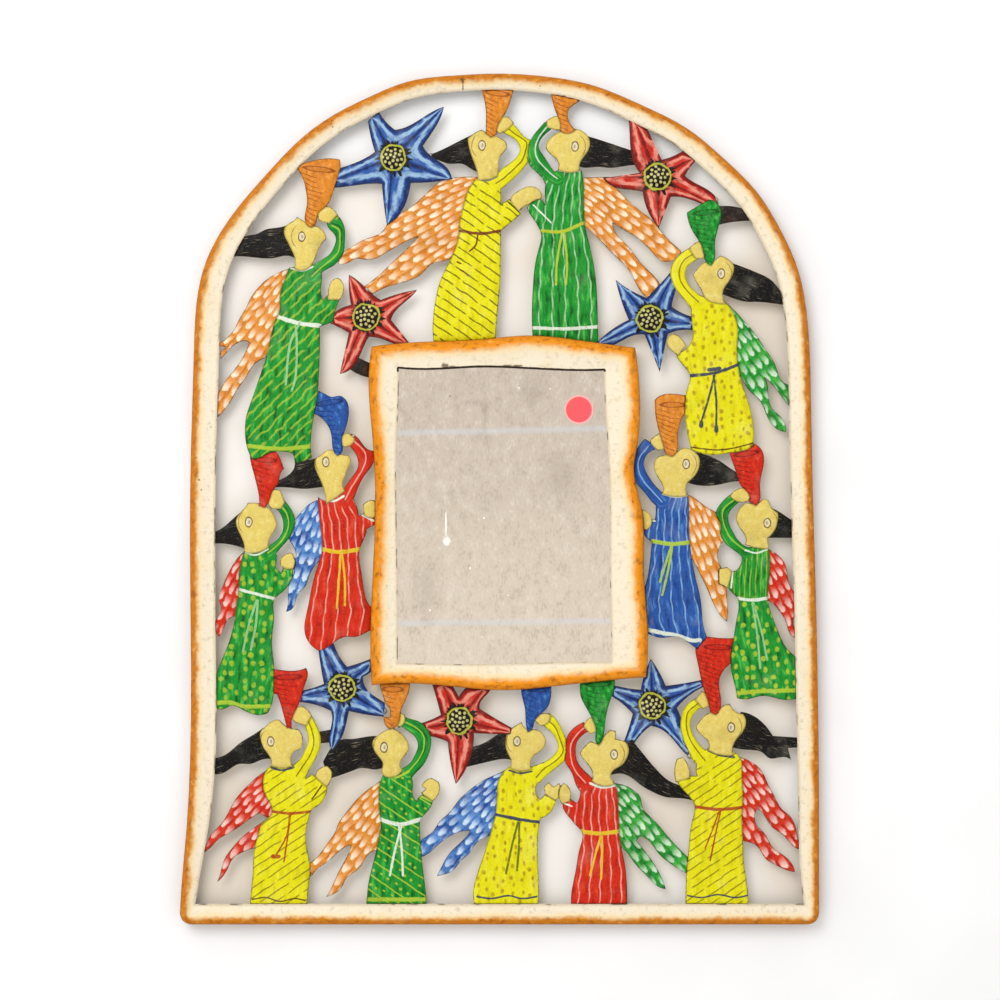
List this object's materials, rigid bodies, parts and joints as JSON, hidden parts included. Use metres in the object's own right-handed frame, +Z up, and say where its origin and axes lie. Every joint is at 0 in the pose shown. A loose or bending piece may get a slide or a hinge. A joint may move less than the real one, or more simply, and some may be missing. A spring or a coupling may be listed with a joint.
{
  "type": "painted tin mirror",
  "caption": "Arched wall mirror of painted tin: cream rim, openwork of horn-blowing angels and star flowers round a framed rectangular glass, with a hanging ring behind.",
  "frame": {"origin": "on the wall plane, at the height where the inside top of the hanging ring rests on its hook, on the width's middle", "axes": "+Z up the mirror, +Y into the wall, so the front faces -Y and +X is to a viewer's right"},
  "size_m": [0.42, 0.0164, 0.559],
  "materials": {
    "cream_enamel": "hand-painted cream enamel with an orange outer edge, scratched",
    "mirror": "polished, a little aged",
    "card": "pressed grey-brown card",
    "bare_tin": "dull bare tinplate",
    "pink_paper": "bare paper sticker",
    "bare_wire": "drawn wire",
    "dark_enamel": "dark enamel",
    "solder": "dull solder",
    "yellow_enamel": "glossy hand-painted yellow enamel with orange, black and white details",
    "green_enamel": "glossy hand-painted green enamel with orange, black and white details",
    "red_enamel": "glossy hand-painted red enamel with orange, black and white details",
    "blue_enamel": "glossy hand-painted blue enamel with orange, black and white details"
  },
  "bodies": {
    "mirror": {"outer_rim": "cream_enamel", "mirror_frame": "cream_enamel", "mirror_glass": "mirror", "backing_card": "card", "back_pan": "bare_tin", "price_dot": "pink_paper", "hanger_strap": "bare_tin", "angel_top_left": "yellow_enamel", "angel_top_right": "green_enamel", "angel_upper_left": "green_enamel", "angel_upper_right": "yellow_enamel", "angel_middle_left_inner": "red_enamel", "angel_middle_right_inner": "blue_enamel", "angel_middle_left_outer": "green_enamel", "angel_middle_right_outer": "green_enamel", "angel_bottom_1": "yellow_enamel", "angel_bottom_2": "green_enamel", "angel_bottom_3": "yellow_enamel", "angel_bottom_4": "red_enamel", "angel_bottom_5": "yellow_enamel", "star_1": "blue_enamel", "star_2": "red_enamel", "star_3": "red_enamel", "star_4": "blue_enamel", "star_5": "blue_enamel", "star_6": "red_enamel", "star_7": "blue_enamel", "tie_tabs": "dark_enamel", "solder_beads": "solder"},
    "ring": {"hanger_ring": "bare_wire"}
  },
  "joints": [
    {"name": "ring_swing", "type": "hinge", "parent": "mirror", "child": "ring", "pos_m": [0, -0.00515, -0.0104], "axis": [-1, 0, 0], "range_deg": [0, 170]}
  ]
}
